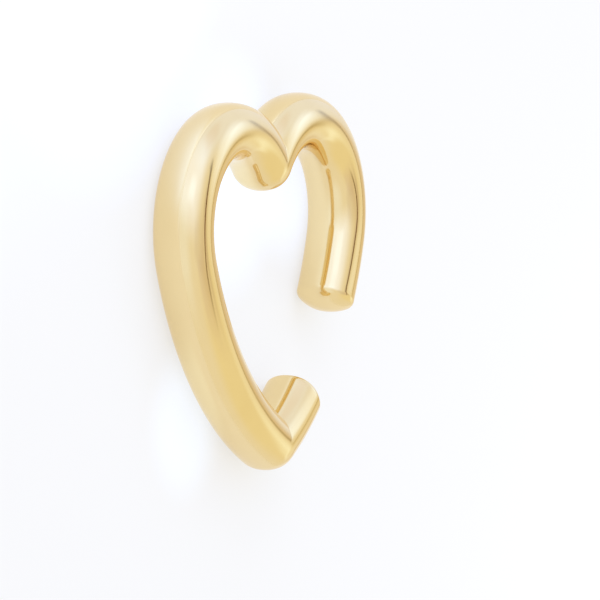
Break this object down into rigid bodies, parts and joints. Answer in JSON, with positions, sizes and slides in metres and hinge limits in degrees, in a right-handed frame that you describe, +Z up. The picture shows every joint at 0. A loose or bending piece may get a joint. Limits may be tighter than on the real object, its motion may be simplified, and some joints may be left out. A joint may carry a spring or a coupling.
{
  "type": "ear cuff",
  "caption": "Heart-shaped open ear cuff bent from a thick polished oval rod, whole on the left, with domed ends that leave a gap on the right for the rim of the ear.",
  "frame": {"origin": "on the surface that the cuff lies on, under the centre of the heart's outline", "axes": "+X to the heart's right as seen from its front, +Y up the heart from its tip to its lobes, +Z up out of the heart's front face"},
  "size_m": [0.015, 0.0138, 0.0022],
  "materials": {
    "polished_gold": "mirror-polished pale yellow gold"
  },
  "bodies": {
    "root": {"heart_cuff": "polished_gold"}
  },
  "joints": []
}
